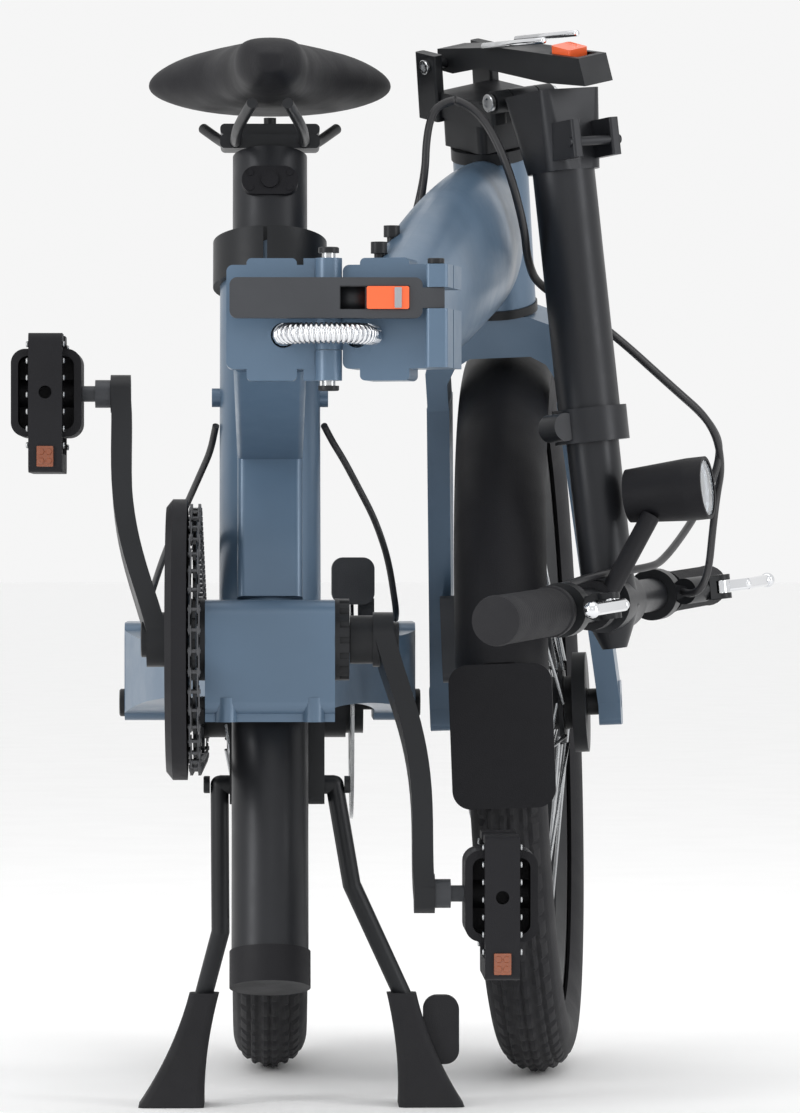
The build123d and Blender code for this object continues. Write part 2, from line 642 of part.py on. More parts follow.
def frame_latch():
    """The lever that ties the hinge shut; drawn shut, along the right side of the rear half."""
    low, high = HINGE_Z - 2, HINGE_Z + 22
    length = 122
    lever = block((LATCH_X - 5, LATCH_Y + 8, low), (LATCH_X + 5, LATCH_Y + length, high), 4.5, Axis.X)
    lever += block((LATCH_X - 5, LATCH_Y - 5, HINGE_Z + 4), (LATCH_X + 5, LATCH_Y + 14, HINGE_Z + 16))
    lever -= rod((LATCH_X, LATCH_Y, low - 5), (LATCH_X, LATCH_Y, high + 5), 3.05)
    lever -= block((LATCH_X - 6, LATCH_Y + 15.7, low + 5), (LATCH_X - 1, LATCH_Y + 57, high - 5))
    pin = rod((LATCH_X, LATCH_Y, HINGE_Z - 12), (LATCH_X, LATCH_Y, HINGE_Z + 30), 3)
    lock = block((LATCH_X - 6.8, LATCH_Y + 16, low + 5.3), (LATCH_X - 1.3, LATCH_Y + 41, high - 5.3), 1, Axis.X)
    keep("frame_latch_lever", [lever, pin], fold_latch)
    keep("frame_latch_lock", lock, fold_latch)


def headset():
    top = pipe(steer_point(0.1), steer_point(8), HEAD_R + 1, 15.2)
    foot = pipe(steer_point(-HEAD_L - 6), steer_point(-HEAD_L - 0.1), HEAD_R + 1, 15.2)
    return [top, foot]


def fork():
    """Steerer, arched crown and two straight blades that carry the wheel ahead of the axis."""
    steerer = rod(steer_point(-HEAD_L - 10), steer_point(BASE_H - 12), 15)
    crown_plane = Plane(origin=steer_point(-HEAD_L - 6.2, 0, -19), x_dir=(1, 0, 0), z_dir=FORWARD)
    arch = Polyline((-50, -62), (-50, -36), (-44, -18), (-34, -6), (-20, 0), (20, 0), (34, -6), (44, -18),
                    (50, -36), (50, -62), (36, -62), (36, -44), (30, -33), (20, -27),
                    (-20, -27), (-30, -33), (-36, -44), (-36, -62), close=True)
    crown = extrude(crown_plane * make_face(arch), 38)
    shape = crown + steerer
    middle = (FORK_IN + FORK_OUT) / 2
    thick = FORK_OUT - FORK_IN
    for side in (-1, 1):
        top = Plane(origin=steer_point(-HEAD_L - 66, side * 43), x_dir=(1, 0, 0), z_dir=STEER_DIR)
        low = Plane(origin=(side * middle, FRONT_AXLE_Y, WHEEL_R), x_dir=(1, 0, 0), z_dir=STEER_DIR)
        shape += loft([top * Rectangle(thick, 38), low * Rectangle(thick, 26)])
        shape += block((side * middle - thick / 2, FRONT_AXLE_Y - 14, WHEEL_R - 16),
                       (side * middle + thick / 2, FRONT_AXLE_Y + 14, WHEEL_R + 14), 5, Axis.X)
    shape -= rod((-FORK_IN, FRONT_AXLE_Y, WHEEL_R), (FORK_IN, FRONT_AXLE_Y, WHEEL_R), 9.1)
    return shape - rod((-80, FRONT_AXLE_Y, WHEEL_R), (80, FRONT_AXLE_Y, WHEEL_R), AXLE_R)


def fender():
    """A rounded mudguard over the top and back of the front wheel, with a flap below it."""
    inner, outer = 254.6, 257.4
    section = make_face(Wire([
        ThreePointArc((-30, 0, inner - 22), (0, 0, outer), (30, 0, inner - 22)),
        Line((30, 0, inner - 22), (27.6, 0, inner - 22)),
        ThreePointArc((27.6, 0, inner - 22), (0, 0, inner), (-27.6, 0, inner - 22)),
        Line((-27.6, 0, inner - 22), (-30, 0, inner - 22)),
    ]))
    start = section.rotate(Axis.X, 38)
    guard = revolve(start, axis=Axis.X, revolution_arc=-124)
    flap = block((-33, 254, -60), (33, 257, 32), 12, Axis.Y)
    guard -= block((-40, 253.6, -70), (40, 270, 33))
    brace = block((-6, 236, 0), (6, 262, 6))
    place = place_wheel(FRONT_AXLE_Y)
    return [place * (guard - brace), place * flap]


def front_caliper():
    body = block((27, FRONT_AXLE_Y + 42, WHEEL_R + 18), (49.9, FRONT_AXLE_Y + 84, WHEEL_R + 76), 7, Axis.X)
    body -= rod((35.5, FRONT_AXLE_Y, WHEEL_R), (40.5, FRONT_AXLE_Y, WHEEL_R), ROTOR_R + 2)
    return body - fork()


def along(s, side, axis, x_size, y_size):
    """A rounded rectangle across the steering axis, turned to the handlepost's hinge."""
    centre = steer_point(s) + POST_SIDE * side + POST_HINGE_X * axis
    corner = min(5, x_size / 4)
    return Plane(origin=centre, x_dir=POST_HINGE_X, z_dir=STEER_DIR) * RectangleRounded(x_size, y_size, corner)


POST_HINGE_X = (POST_AXIS_DIR - STEER_DIR * POST_AXIS_DIR.dot(STEER_DIR)).normalized()


def post_knuckle(start, end, radius):
    return rod(POST_PIN + POST_AXIS_DIR * start, POST_PIN + POST_AXIS_DIR * end, radius)


def stem_base():
    """The lower half of the handlepost hinge, on top of the fork's steerer."""
    shape = extrude(along(9, 0, 0, 44, 44), BASE_H - 9.3 - 16)
    shape += extrude(along(BASE_H - 17, 2.5, 0, 46, 51), 16.8)
    shape += post_knuckle(-23, -11, 7.5) + post_knuckle(11, 23, 7.5)
    for low, high in ((-23, -11), (11, 23)):
        shape += extrude(along(BASE_H - 14, 27, (low + high) / 2, high - low, 22), 12)
    for at in (-22.3, 22.3):
        shape += extrude(along(BASE_H - 20, -31, at, 7, 22), 44)
    shape -= post_knuckle(-40, 40, 4 + FIT)
    shape -= post_knuckle(-10.7, 10.7, 8.4)
    latch = stem_latch_pivot()
    shape -= rod(latch - POST_HINGE_X * 40, latch + POST_HINGE_X * 40, 3 + FIT)
    shape -= rod(steer_point(-5), steer_point(BASE_H - 11.9), 15)
    pin = post_knuckle(-24, 24, 4)
    return [shape, pin]


def stem_latch_pivot():
    return steer_point(BASE_H + 16) - POST_SIDE * 29


def handlepost():
    """The folding post: hinge half, conical neck, outer tube and its clamp collar."""
    neck = loft([along(BASE_H + 0.3, 4, 0, 46, 46), Plane(origin=steer_point(BASE_H + 52), x_dir=POST_HINGE_X,
                                                        z_dir=STEER_DIR) * RectangleRounded(40, 40, 12)])
    tube = rod(steer_point(BASE_H + 40), steer_point(BASE_H + 226), HANDLEPOST_R)
    shape = neck + tube
    shape += post_knuckle(-10.2, 10.2, 7.5)
    shape += extrude(along(BASE_H + 0.6, 27, 0, 20.4, 22), 12)
    for at in (-15, 15):
        shape += extrude(along(BASE_H + 22, -28, at, 7, 24), 24)
        shape += extrude(along(BASE_H + 30, -20, at, 7, 20), 16)
    shape -= post_knuckle(-40, 40, 4 + FIT)
    shape -= post_knuckle(-24, -10.6, 8.4) + post_knuckle(10.6, 24, 8.4)
    shape -= rod(steer_point(BASE_H + 90), steer_point(BASE_H + 240), INNER_POST_R + FIT)
    shape -= extrude(along(BASE_H - 1, -4, 0, 24, 30), 18)
    collar = pipe(steer_point(BASE_H + 204), steer_point(BASE_H + 226), HANDLEPOST_R + 4, HANDLEPOST_R + 0.05)
    lug = steer_point(BASE_H + 215) + POST_HINGE_X * -26
    collar += rod(lug - POST_SIDE * 9, lug + POST_SIDE * 9, 9)
    collar -= rod(steer_point(BASE_H + 200), steer_point(BASE_H + 230), HANDLEPOST_R + 0.05)
    cross = steer_point(BASE_H + 36) - POST_SIDE * 36
    pin = rod(cross - POST_HINGE_X * 20, cross + POST_HINGE_X * 20, 3)
    shape -= rod(cross - POST_HINGE_X * 30, cross + POST_HINGE_X * 30, 3.05)
    return [shape, collar, pin]


def upper_post():
    top = steer_point(BAR_S)
    post = pipe(steer_point(BASE_H + 108), steer_point(BAR_S - 14), INNER_POST_R, INNER_POST_R - 2.5)
    post += loft([Plane(origin=steer_point(BAR_S - 20), x_dir=(1, 0, 0), z_dir=STEER_DIR) * Circle(INNER_POST_R),
                  Plane(origin=steer_point(BAR_S + 4), x_dir=(1, 0, 0), z_dir=STEER_DIR) * Circle(19)])
    post += rod(top - Vector(22, 0, 0), top + Vector(22, 0, 0), 19)
    post += loft([Plane(origin=steer_point(BAR_S + 4), x_dir=(1, 0, 0), z_dir=STEER_DIR) * Circle(19),
                  Plane(origin=steer_point(BAR_S + 30), x_dir=(1, 0, 0), z_dir=STEER_DIR) * Circle(8)])
    return post - rod(top - Vector(30, 0, 0), top + Vector(30, 0, 0), BAR_R)


def bar_point(x, ahead=0.0, up=0.0):
    return steer_point(BAR_S + up, x, ahead)


def brake_body(side):
    """A brake lever perch: clamp band, reservoir and the ears that hold the blade."""
    x = side * 118
    clamp = pipe(bar_point(x - 7), bar_point(x + 7), 17, BAR_R + 0.05)
    reservoir = rod(bar_point(x - side * 6, 22), bar_point(x + side * 22, 28), 8.6)
    arm = rod(bar_point(x, 12), bar_point(x, 24), 7)
    shape = clamp + reservoir + arm
    ear = bar_point(x + side * 30, 38)
    shape += rod(ear - STEER_DIR * 8, ear + STEER_DIR * 8, 7)
    shape -= rod(bar_point(x - 9), bar_point(x + 9), BAR_R + 0.05)
    link = Plane(origin=bar_point(x + side * 15, 31), x_dir=STEER_DIR, z_dir=ear - bar_point(x + side * 15, 31))
    shape += extrude(link * Rectangle(15, 9), 15)
    shape -= extrude(Plane(origin=ear - STEER_DIR * 4.3, x_dir=(1, 0, 0), z_dir=STEER_DIR) * Rectangle(21, 21), 8.6)
    return shape - rod(ear - STEER_DIR * 12, ear + STEER_DIR * 12, 2.05)


def blade_pivot(side):
    return bar_point(side * 148, 38)


def brake_blade(side):
    pivot = blade_pivot(side)
    blade = rod(pivot - STEER_DIR * 4, pivot + STEER_DIR * 4, 6.5)
    elbow = bar_point(side * 166, 52)
    tip = bar_point(side * 236, 50)
    for a, b in ((pivot, elbow), (elbow, tip)):
        run = b - a
        section = Plane(origin=a, x_dir=STEER_DIR, z_dir=run) * RectangleRounded(7.6, 4.6, 2)
        blade += extrude(section, run.length)
    blade += Pos(*tip) * Sphere(5) + Pos(*elbow) * Sphere(3.4)
    blade -= rod(pivot - STEER_DIR * 6, pivot + STEER_DIR * 6, 2.05)
    pin = rod(pivot - STEER_DIR * 8, pivot + STEER_DIR * 8, 2)
    return [blade, pin]


def headlight():
    """Round lamp beside the inner post, on an arm from the bar."""
    back = bar_point(16, 24, -66)
    body = rod(back, back + FORWARD * 40, 17, 20)
    body += rod(back + FORWARD * 40, back + FORWARD * 52, 20)
    body -= rod(back + FORWARD * 44, back + FORWARD * 60, 18)
    clamp = pipe(bar_point(40), bar_point(52), 16, BAR_R + 0.05)
    body += clamp + rod(bar_point(46, 12, -6), bar_point(28, 40, -52), 6)
    body -= rod(bar_point(30), bar_point(60), BAR_R + 0.05)
    lens = rod(back + FORWARD * 46, back + FORWARD * 51, 17.8)
    return body, lens


def bar():
    keep("handlepost_inner", upper_post(), fold_post)
    keep("handlebar", pipe(bar_point(-BAR_HALF + 2), bar_point(BAR_HALF - 2), BAR_R - 0.05, BAR_R - 2.5), fold_post)
    grips = []
    for side, radius in ((-1, GRIP_R), (1, GRIP_R + 1.5)):
        grip = rod(bar_point(side * (BAR_HALF - 128)), bar_point(side * BAR_HALF), radius)
        grips.append(grip - rod(bar_point(side * 100), bar_point(side * (BAR_HALF - 2)), BAR_R))
    keep("grips", grips, fold_post)
    keep("brake_bodies", [mirrored(brake_body(1)), brake_body(1)], fold_post)
    keep("brake_blade_right", brake_blade(-1), fold_post)
    keep("brake_blade_left", brake_blade(1), fold_post)
    body, lens = headlight()
    keep("headlight", body, fold_post)
    keep("headlight_lens", lens, fold_post)


def stem_latch():
    """The long lever over the handlepost hinge; drawn in the folded position of the fork."""
    pivot = stem_latch_pivot()
    ahead = (POST_SIDE * 0.994 + STEER_DIR * -0.02).normalized()
    up = POST_HINGE_X.cross(ahead)
    if up.dot(STEER_DIR) < 0:
        up = up * -1
    plane = Plane(origin=pivot - POST_HINGE_X * 11, x_dir=ahead, z_dir=POST_HINGE_X)
    lift = 1 if plane.y_dir.dot(up) > 0 else -1
    outline = Polyline((-8, -6 * lift), (-8, 8 * lift), (60, 20 * lift), (146, 27 * lift), (152, 10 * lift),
                       (110, 5 * lift), (40, 3 * lift), (8, -6 * lift), close=True)
    lever = extrude(plane * make_face(outline), 22)
    lever -= rod(pivot - POST_HINGE_X * 30, pivot + POST_HINGE_X * 30, 3.05)
    slot = Plane(origin=pivot + ahead * 126 + up * 17, x_dir=ahead, z_dir=up)
    lever -= extrude(slot * Rectangle(30, 16), 20)
    lock = extrude(slot.offset(0.3) * Pos(-4, 0) * RectangleRounded(20, 15, 2), 12)
    pin = rod(pivot - POST_HINGE_X * 26, pivot + POST_HINGE_X * 26, 3)
    keep("stem_latch_lever", [lever, pin], turn_fork)
    keep("stem_latch_lock", lock, turn_fork)


def report_bend(name, points, radii):
    print("cable", name, "smallest bend radius", round(min(radii), 1), "in", len(points), "points")


def cable(name, points, radius, radii=None):
    """A flexible cord along its route in the folded position."""
    radii = radii or easy_radii(points)
    report_bend(name, points, radii)
    return wire(points, radii, radius)


def folded_bar(x, ahead=0.0, up=0.0):
    """Where a point on the handlebar is when the bicycle is folded."""
    return fold_post(Vertex(*bar_point(x, ahead, up))).center()


def cables():
    """Conduit over the frame hinge, hoses to the rear wheel, and the handlebar's cables in three runs."""
    z = HINGE_Z - 11
    route = [(8, -114, z), (8, -158, z), (46.1, -158.3, z), (54.4, -121.5, z)]
    keep("conduit_spring", cable("conduit", route, 6.9, [17, 17]))
    right = [(-34.4, 88, 434), (-38, 104, 418), (-54, 150, 384), (-68, 200, 356), (-79, 255, 326),
             (-84, 296, 309.5), (-84, 322, 308.5)]
    left = [(34.4, 88, 434), (40, 104, 424), (48, 130, 412), (69, 200, 375), (79, 250, 348),
            (85, 292, 314), (85, 318, 308.5)]
    keep("rear_cables", [cable("rear right", right, 2.2), cable("rear left", left, 2.2)])
    lower, middle, upper = [], [], []
    for n in range(2):
        shift = 6.5 * n
        lower_route = [(92.5 - shift / 2, 104 + shift, 556), (99, 104 + shift, 590), (100, 100 + shift, 622),
                       (106, 97 + shift, 640), (118, 96 + shift, 642)]
        middle_route = [(119.4, 96 + shift, 642), (132, 95 + shift, 638), (150, 92 + shift, 606), (162, 90 + shift, 562),
                        (165, 114 + shift, 541), (174, 141 + shift, 524), (199.6, 150 + shift, 512)]
        tail = [(289.6, 190.7 + shift, 439.3), (298.6, 210.7, 412.3 + shift)]
        if n:
            tail += [(283.6, 204.7, 382.3), folded_bar(-30, 31, -22), folded_bar(0, 26, -19)]
            tail += [folded_bar(46, 3, -18.8), folded_bar(109, 0, -14.4)]
        else:
            tail += [(295.6, 236.7, 386.3), folded_bar(-86, 42, 8), folded_bar(-108.5, 22, 0)]
        upper_route = [(201.2, 150.6 + shift, 510.8), (221.6, 158 + shift, 497), (261.6, 174 + shift, 462.3)]
        upper_route += [tuple(point) for point in tail]
        lower.append(cable("frame to stem", lower_route, 2.5))
        middle.append(cable("stem to post", middle_route, 2.5))
        upper.append(cable("post to bar", upper_route, 2.5))
    keep("steering_cables", lower)
    keep("post_cables", middle)
    keep("bar_cables", upper)


def front_half():
    keep("front_frame", main_tube(), fold_front)
    keep("headset_and_bolts", headset() + carrier_bolts(), fold_front)
    frame_latch()
    keep("fork", fork(), turn_fork)
    keep("front_fender", fender(), turn_fork)
    keep("front_caliper", front_caliper(), turn_fork)
    keep("stem_base", stem_base(), turn_fork)
    stem_latch()
    keep("handlepost", handlepost(), fold_post)
    bar()


def build():
    wheels()
    crankset()
    rear_frame()
    kickstand()
    seatpost()
    saddle()
    front_half()
    cables()
    os.makedirs("parts", exist_ok=True)
    low = [1e9] * 3
    high = [-1e9] * 3
    for name, shape in PARTS.items():
        export_step(shape, "parts/" + name + ".step")
        box = shape.bounding_box()
        for n, (a, b) in enumerate(zip(box.min, box.max)):
            low[n] = min(low[n], a)
            high[n] = max(high[n], b)
    print("whole size", [round(b - a, 1) for a, b in zip(low, high)])
    print("off centre", [round((a + b) / 2, 2) for a, b in zip(low, high)][:2], "lowest", round(low[2], 3))


build()
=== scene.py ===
"""Looks for the folded bicycle: materials, tread, chain, saddle, cables and small fittings."""

import json
import math

import bmesh
import bpy
from mathutils import Matrix, Quaternion, Vector


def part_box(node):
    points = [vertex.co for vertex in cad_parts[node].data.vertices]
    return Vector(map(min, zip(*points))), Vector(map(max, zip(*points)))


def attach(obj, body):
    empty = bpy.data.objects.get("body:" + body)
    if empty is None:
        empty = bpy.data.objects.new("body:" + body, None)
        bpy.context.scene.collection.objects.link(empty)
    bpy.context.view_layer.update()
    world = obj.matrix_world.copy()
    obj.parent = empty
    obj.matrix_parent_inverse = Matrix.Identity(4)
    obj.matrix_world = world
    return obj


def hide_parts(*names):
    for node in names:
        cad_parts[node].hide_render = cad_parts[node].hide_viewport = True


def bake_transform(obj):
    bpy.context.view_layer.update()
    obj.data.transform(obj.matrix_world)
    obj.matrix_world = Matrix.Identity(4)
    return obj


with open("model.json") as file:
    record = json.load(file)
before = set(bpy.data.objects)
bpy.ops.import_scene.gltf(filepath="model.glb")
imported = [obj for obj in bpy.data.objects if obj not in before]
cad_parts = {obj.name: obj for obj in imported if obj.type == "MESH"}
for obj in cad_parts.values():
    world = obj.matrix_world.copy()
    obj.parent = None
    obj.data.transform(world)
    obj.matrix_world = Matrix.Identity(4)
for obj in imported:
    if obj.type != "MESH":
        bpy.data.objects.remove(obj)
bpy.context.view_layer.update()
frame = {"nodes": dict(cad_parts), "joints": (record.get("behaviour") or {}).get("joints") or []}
NODES = frame["nodes"]
JOINTS = {joint["name"]: joint for joint in frame["joints"]}
COLLECTION = bpy.context.scene.collection

MM = 0.001
# The middle of the stored bicycle's floor space, in the CAD source's own plan position.
FLOOR_CENTRE = Vector((90.3, 232.0, 0)) * MM


def at(x, y, z):
    """A point given in millimetres as the CAD source gives it, in this scene's metres."""
    return Vector((x, y, z)) * MM - FLOOR_CENTRE


def joint_pos(name):
    return Vector(JOINTS[name]["pos_m"])


def joint_axis(name):
    return Vector(JOINTS[name]["axis"]).normalized()


# ---------------------------------------------------------------- materials
MOTTLE_SCALE = 9.0
SMEAR_SCALE = 35.0
GRAIN_HEIGHT = 0.0004


def socket(shader, name, value):
    shader.inputs[name].default_value = value


def noise(tree, scale, detail=4.0, rough=0.55):
    coords = tree.nodes.new("ShaderNodeTexCoord")
    texture = tree.nodes.new("ShaderNodeTexNoise")
    texture.inputs["Scale"].default_value = scale
    texture.inputs["Detail"].default_value = detail
    texture.inputs["Roughness"].default_value = rough
    tree.links.new(coords.outputs["Object"], texture.inputs["Vector"])
    return texture.outputs["Fac"]


def ramp(tree, factor, low, high, start=0.35, end=0.65):
    """A colour that runs from low to high as the factor goes from start to end."""
    node = tree.nodes.new("ShaderNodeValToRGB")
    node.color_ramp.elements[0].position = start
    node.color_ramp.elements[1].position = end
    node.color_ramp.elements[0].color = (*low, 1)
    node.color_ramp.elements[1].color = (*high, 1)
    tree.links.new(factor, node.inputs["Fac"])
    return node.outputs["Color"]


def material(name, colour, rough, metallic=0.0, grain=None, mottle=0.12,
             coat=0.0, coat_rough=0.1, spec=0.5):
    """A principled surface whose colour and roughness vary a little, with an optional bump grain."""
    made = bpy.data.materials.new(name)
    made.use_nodes = True
    tree = made.node_tree
    shader = tree.nodes["Principled BSDF"]
    socket(shader, "Metallic", metallic)
    socket(shader, "Coat Weight", coat)
    socket(shader, "Coat Roughness", coat_rough)
    socket(shader, "Specular IOR Level", spec)
    dark = tuple(c * (1 - mottle) for c in colour)
    light = tuple(min(1, c * (1 + mottle)) for c in colour)
    tree.links.new(ramp(tree, noise(tree, MOTTLE_SCALE), dark, light), shader.inputs["Base Color"])
    low_rough = (max(0.04, rough - 0.05),) * 3
    high_rough = (min(1, rough + 0.06),) * 3
    tree.links.new(ramp(tree, noise(tree, SMEAR_SCALE), low_rough, high_rough), shader.inputs["Roughness"])
    if grain:
        scale, strength = grain
        bump = tree.nodes.new("ShaderNodeBump")
        bump.inputs["Strength"].default_value = strength
        bump.inputs["Distance"].default_value = GRAIN_HEIGHT
        tree.links.new(noise(tree, scale, 2.0), bump.inputs["Height"])
        tree.links.new(bump.outputs["Normal"], shader.inputs["Normal"])
    return made


PAINT = material("frame_paint", (0.085, 0.140, 0.210), 0.36, 0.25, (900, 0.12), 0.05, 0.25, 0.25)
BLACK = material("black_anodised", (0.012, 0.013, 0.015), 0.42, 0.25, (1400, 0.15), spec=0.35)
TUBE = material("satin_black_tube", (0.017, 0.018, 0.021), 0.38, 0.35, (1500, 0.10), spec=0.4)
GREY = material("grey_casting", (0.055, 0.058, 0.064), 0.45, 0.6, (1100, 0.25))
STEEL = material("brushed_steel", (0.42, 0.43, 0.44), 0.28, 1.0, (600, 0.1))
CHROME = material("chrome", (0.72, 0.73, 0.75), 0.10, 1.0, None, 0.04)
PLASTIC = material("black_plastic", (0.008, 0.008, 0.010), 0.55, 0.0, (1300, 0.35), spec=0.22)
DARK_STEEL = material("dark_steel", (0.090, 0.092, 0.098), 0.42, 0.9, (800, 0.1))
ORANGE = material("orange_lock", (0.82, 0.115, 0.025), 0.34, 0.0, None, 0.05, 0.3)
TYRE = material("tyre_rubber", (0.012, 0.012, 0.014), 0.70, 0.0, (700, 0.5), 0.2, spec=0.3)
RUBBER = material("soft_rubber", (0.013, 0.013, 0.015), 0.74, 0.0, (1000, 0.4), 0.2, spec=0.3)
COVER = material("saddle_cover", (0.008, 0.008, 0.010), 0.60, 0.0, (520, 0.4), 0.15, spec=0.22)
HOSE = material("cable_sheath", (0.014, 0.014, 0.016), 0.40, 0.0, None, 0.1)
AMBER = material("amber_reflector", (0.20, 0.050, 0.015), 0.22, 0.0, None, 0.1, 0.6, 0.05)
BAND = material("grey_band", (0.30, 0.31, 0.33), 0.4, 0.2, None, 0.05)
GLASS = material("lamp_glass", (0.80, 0.84, 0.88), 0.06, 0.0, None, 0.0)
socket(GLASS.node_tree.nodes["Principled BSDF"], "Transmission Weight", 0.9)

LOOKS = {
    PAINT: ["seat_tube", "bottom_bracket_shell", "chainstays", "front_frame", "fork"],
    TUBE: ["seatpost", "handlepost", "handlepost_inner", "handlebar"],
    BLACK: ["bracket_cups", "seat_clamp", "stand_bracket", "saddle_clamp", "rear_hub", "front_hub",
            "rear_rim", "front_rim", "cranks", "headset_and_bolts", "front_axle", "stem_base",
            "stem_latch_lever", "stand_legs", "rear_axle", "chainring", "brake_bodies"],
    GREY: ["frame_latch_lever", "rear_caliper", "front_caliper", "crank_spindles"],
    STEEL: ["rear_spokes", "front_spokes", "rear_rotor", "front_rotor", "frame_hinge_pin"],
    CHROME: ["brake_blade_left", "brake_blade_right"],
    PLASTIC: ["chain_guard", "pedal_housing_left", "pedal_housing_right", "pedal_platform_left",
              "pedal_platform_right", "seatpost_caps", "front_fender", "headlight"],
    ORANGE: ["frame_latch_lock", "stem_latch_lock"],
    RUBBER: ["stand_feet"],
    HOSE: ["rear_cables"],
    GLASS: ["headlight_lens"],
}


def dress_cad():
    for look, names in LOOKS.items():
        for name in names:
            data = NODES[name].data
            data.materials.clear()
            data.materials.append(look)


# ---------------------------------------------------------------- mesh helpers
def new_piece(name, mesh_or_bm, look, smooth=True):
    """An object made from a bmesh or mesh, with its material."""
    if isinstance(mesh_or_bm, bmesh.types.BMesh):
        mesh = bpy.data.meshes.new(name)
        mesh_or_bm.normal_update()
        mesh_or_bm.to_mesh(mesh)
        mesh_or_bm.free()
    else:
        mesh = mesh_or_bm
    mesh.materials.clear()
    mesh.materials.append(look)
    for face in mesh.polygons:
        face.use_smooth = smooth
    made = bpy.data.objects.new(name, mesh)
    COLLECTION.objects.link(made)
    return made


def edge_smooth(made, degrees=32):
    """Smooth shading that keeps edges sharper than the given angle."""
    made.data.set_sharp_from_angle(angle=math.radians(degrees))


def bridge(bm, low, high):
    """A row of faces between two closed rings of the same number of vertices."""
    for n in range(len(low)):
        k = (n + 1) % len(low)
        bm.faces.new((low[n], low[k], high[k], high[n]))


def ring_points(centre, first, second, radius, sides):
    """Points round a circle in the plane of two directions."""
    turns = [2 * math.pi * n / sides for n in range(sides)]
    return [centre + (first * math.cos(turn) + second * math.sin(turn)) * radius for turn in turns]


def turn_to(axis, origin=(0, 0, 0)):
    """A matrix that takes +Z to the axis, at the origin."""
    rotation = Vector((0, 0, 1)).rotation_difference(Vector(axis)).to_matrix().to_4x4()
    return Matrix.Translation(Vector(origin)) @ rotation


def add_cylinder(bm, base, axis, radius, length, sides=32, bevel=0.0, far_radius=None):
    """A closed cylinder from its base along the axis, with an optional chamfer at its far end."""
    far = radius if far_radius is None else far_radius
    rings = [(0, radius), (length, far)]
    if bevel:
        rings = [(0, radius), (length - bevel, far), (length, far - bevel)]
    matrix = turn_to(axis, base)
    loops = []
    for height, ring_radius in rings:
        loop = []
        for n in range(sides):
            turn = 2 * math.pi * n / sides
            spot = Vector((ring_radius * math.cos(turn), ring_radius * math.sin(turn), height))
            loop.append(bm.verts.new(matrix @ spot))
        loops.append(loop)
    for low, high in zip(loops, loops[1:]):
        bridge(bm, low, high)
    bm.faces.new(list(reversed(loops[0])))
    bm.faces.new(loops[-1])


def add_box(bm, matrix, size, bevel=0.0):
    """A box of that size centred on the matrix, with chamfered edges."""
    made = bmesh.ops.create_cube(bm, size=1.0)
    verts = made["verts"]
    bmesh.ops.scale(bm, vec=Vector(size), verts=verts)
    if bevel:
        edges = list(dict.fromkeys(edge for vert in verts for edge in vert.link_edges))
        result = bmesh.ops.bevel(bm, geom=edges, offset=bevel, segments=2, affect="EDGES", profile=0.6)
        kept = [vert for vert in verts if vert.is_valid]
        rounded = [vert for face in result["faces"] for vert in face.verts]
        verts = list(dict.fromkeys(rounded + kept))
    bmesh.ops.transform(bm, matrix=matrix, verts=verts)


def socket_bolt(bm, tip, axis, radius, height):
    """A cap screw standing on the tip point, with its hexagon socket sunk in."""
    axis = Vector(axis).normalized()
    matrix = turn_to(axis, tip)
    sides = 24
    hexagon = 0.55 * radius
    rings = [(radius, 0.0), (radius, height * 0.85), (radius * 0.9, height)]
    loops = []
    for ring_radius, z in rings:
        loops.append([bm.verts.new(matrix @ Vector((ring_radius * math.cos(2 * math.pi * n / sides),
                                                   ring_radius * math.sin(2 * math.pi * n / sides), z)))
                      for n in range(sides)])
    for low, high in zip(loops, loops[1:]):
        bridge(bm, low, high)
    bm.faces.new(list(reversed(loops[0])))
    inner = []
    for z in (height, height * 0.4):
        loop = []
        for n in range(sides):
            turn = 2 * math.pi * n / sides
            local = (turn + math.pi / 6) % (math.pi / 3) - math.pi / 6
            reach = hexagon / math.cos(local)
            loop.append(bm.verts.new(matrix @ Vector((reach * math.cos(turn), reach * math.sin(turn), z))))
        inner.append(loop)
    for low, high in ((loops[-1], inner[0]), (inner[0], inner[1])):
        bridge(bm, low, high)
    bm.faces.new(inner[1])


def smooth_line(points, steps=1):
    """Points read along the smooth curve that a route's points control."""
    curve = bpy.data.curves.new("route", "CURVE")
    curve.dimensions = "3D"
    spline = curve.splines.new("NURBS")
    spline.points.add(len(points) - 1)
    for spot, point in zip(spline.points, points):
        spot.co = (*point, 1)
    spline.order_u = 3
    spline.use_endpoint_u = True
    curve.resolution_u = 10 * steps
    holder = bpy.data.objects.new("route", curve)
    COLLECTION.objects.link(holder)
    bpy.context.view_layer.update()
    mesh = bpy.data.meshes.new_from_object(holder)
    found = [vert.co.copy() for vert in mesh.vertices]
    bpy.data.objects.remove(holder)
    bpy.data.curves.remove(curve)
    bpy.data.meshes.remove(mesh)
    return found


def frames_along(line):
    """A point, tangent and steady sideways direction at each point of a line."""
    found = []
    side = None
    for n, point in enumerate(line):
        before = line[max(0, n - 1)]
        after = line[min(len(line) - 1, n + 1)]
        tangent = (after - before).normalized()
        if side is None:
            side = tangent.orthogonal().normalized()
        side = (side - tangent * side.dot(tangent)).normalized()
        found.append((point, tangent, side))
    return found


def add_tube(bm, line, radius, sides=14):
    """A round tube along a line, closed at both ends."""
    loops = []
    places = frames_along(line)
    for point, tangent, side in places:
        other = tangent.cross(side)
        loops.append([bm.verts.new(spot) for spot in ring_points(point, side, other, radius, sides)])
    for low, high in zip(loops, loops[1:]):
        bridge(bm, low, high)
    bm.faces.new(list(reversed(loops[0])))
    bm.faces.new(loops[-1])


